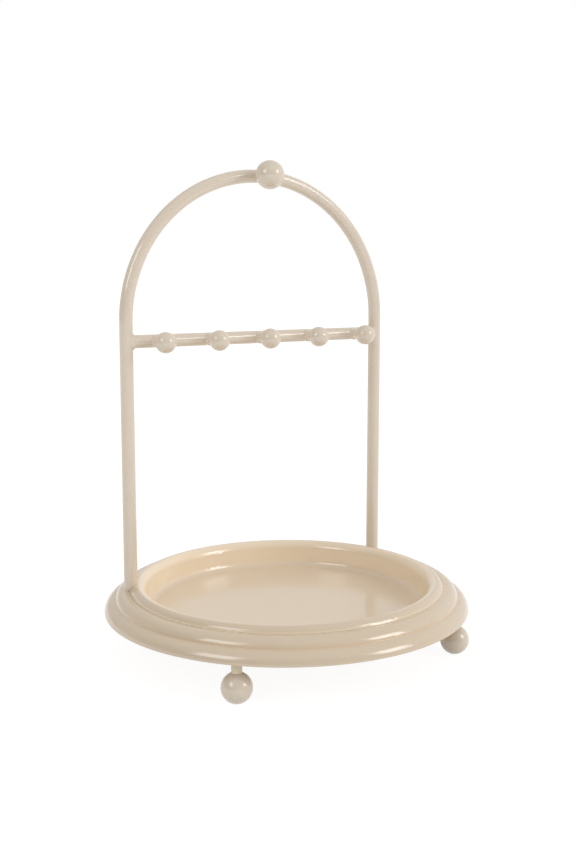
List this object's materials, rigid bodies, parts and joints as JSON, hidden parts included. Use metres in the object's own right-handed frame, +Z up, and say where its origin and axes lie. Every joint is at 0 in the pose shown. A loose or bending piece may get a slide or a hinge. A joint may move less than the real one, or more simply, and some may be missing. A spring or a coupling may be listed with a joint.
{
  "type": "jewelry display rack",
  "caption": "Round footed tray with a stepped rim and an arched rod frame, whose crossbar carries ball-ended hooks for necklaces and rings.",
  "frame": {"origin": "on the table under the centre of the round tray", "axes": "+Z is up; the arch stands behind the tray centre, parallel to X, and the hooks and the top ball point to the front, along -Y"},
  "size_m": [0.177, 0.177, 0.2332],
  "materials": {
    "cream_enamel": "glossy cream enamel on steel",
    "zinc_steel": "zinc-plated steel, satin"
  },
  "bodies": {
    "root": {"tray": "cream_enamel", "arch": "cream_enamel", "crossbar": "cream_enamel", "peg_stem_1": "cream_enamel", "peg_stem_2": "cream_enamel", "peg_stem_3": "cream_enamel", "peg_stem_4": "cream_enamel", "peg_stem_5": "cream_enamel", "hook_ball_1": "cream_enamel", "hook_ball_2": "cream_enamel", "hook_ball_3": "cream_enamel", "hook_ball_4": "cream_enamel", "hook_ball_5": "cream_enamel", "finial_stem": "cream_enamel", "finial_ball": "cream_enamel", "foot_stem_1": "cream_enamel", "foot_stem_2": "cream_enamel", "foot_stem_3": "cream_enamel", "foot_stem_4": "cream_enamel", "foot_ball_1": "cream_enamel", "foot_ball_2": "cream_enamel", "foot_ball_3": "cream_enamel", "foot_ball_4": "cream_enamel", "post_washers": "zinc_steel", "post_nuts": "zinc_steel"}
  },
  "joints": []
}
